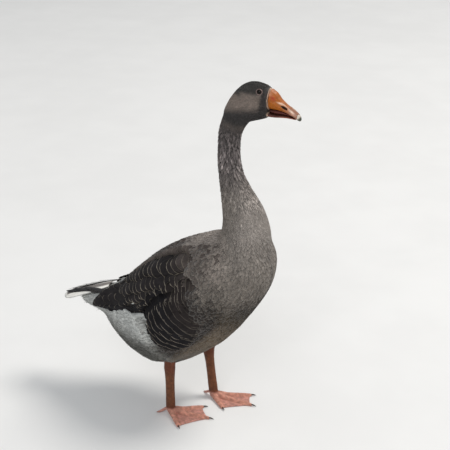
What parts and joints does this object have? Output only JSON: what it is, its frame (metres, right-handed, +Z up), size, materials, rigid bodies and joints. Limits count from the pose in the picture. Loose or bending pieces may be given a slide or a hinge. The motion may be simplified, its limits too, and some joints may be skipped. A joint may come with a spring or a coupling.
{
  "type": "domestic goose",
  "caption": "Life-size still model of a grey domestic goose standing upright, long neck raised, wings folded, orange bill slightly open, webbed feet flat on the floor.",
  "frame": {"origin": "on the floor, under the middle of the model's length and width", "axes": "+X forward to the bill, +Y to the bird's left, +Z up"},
  "size_m": [0.4997, 0.2098, 0.684],
  "materials": {
    "breast_plumage": "short soft mottled grey-brown feathers",
    "neck_plumage": "narrow grey-brown feathers in long furrows",
    "head_plumage": "tiny smooth brown-grey feathers",
    "white_plumage": "fluffy white feathers",
    "wing_plumage": "dark broad feathers with thin pale fringes",
    "flank_plumage": "dark brown feathers with pale crescent edges",
    "bill_horn": "satin orange horn, pinker below",
    "bill_nail": "pale horn with a dark tip",
    "mouth": "damp dark red skin",
    "eye": "wet dark brown, nearly black",
    "leg_skin": "scaly orange-pink skin",
    "claw": "worn dark horn"
  },
  "bodies": {
    "root": {"trunk": "breast_plumage", "neck_lower": "neck_plumage", "neck_upper": "neck_plumage", "head": "head_plumage", "rump": "white_plumage", "tail": "white_plumage", "wing_right": "wing_plumage", "wing_left": "wing_plumage", "primaries_right": "wing_plumage", "primaries_left": "wing_plumage", "flank_right": "flank_plumage", "flank_left": "flank_plumage", "thigh_right": "breast_plumage", "thigh_left": "breast_plumage", "bill_upper": "bill_horn", "bill_lower": "bill_horn", "bill_nail": "bill_nail", "tongue": "mouth", "eye_right": "eye", "eye_left": "eye", "shank_right": "leg_skin", "shank_left": "leg_skin", "foot_right": "leg_skin", "foot_left": "leg_skin", "claw_inner_right": "claw", "claw_middle_right": "claw", "claw_outer_right": "claw", "claw_inner_left": "claw", "claw_middle_left": "claw", "claw_outer_left": "claw"}
  },
  "joints": []
}
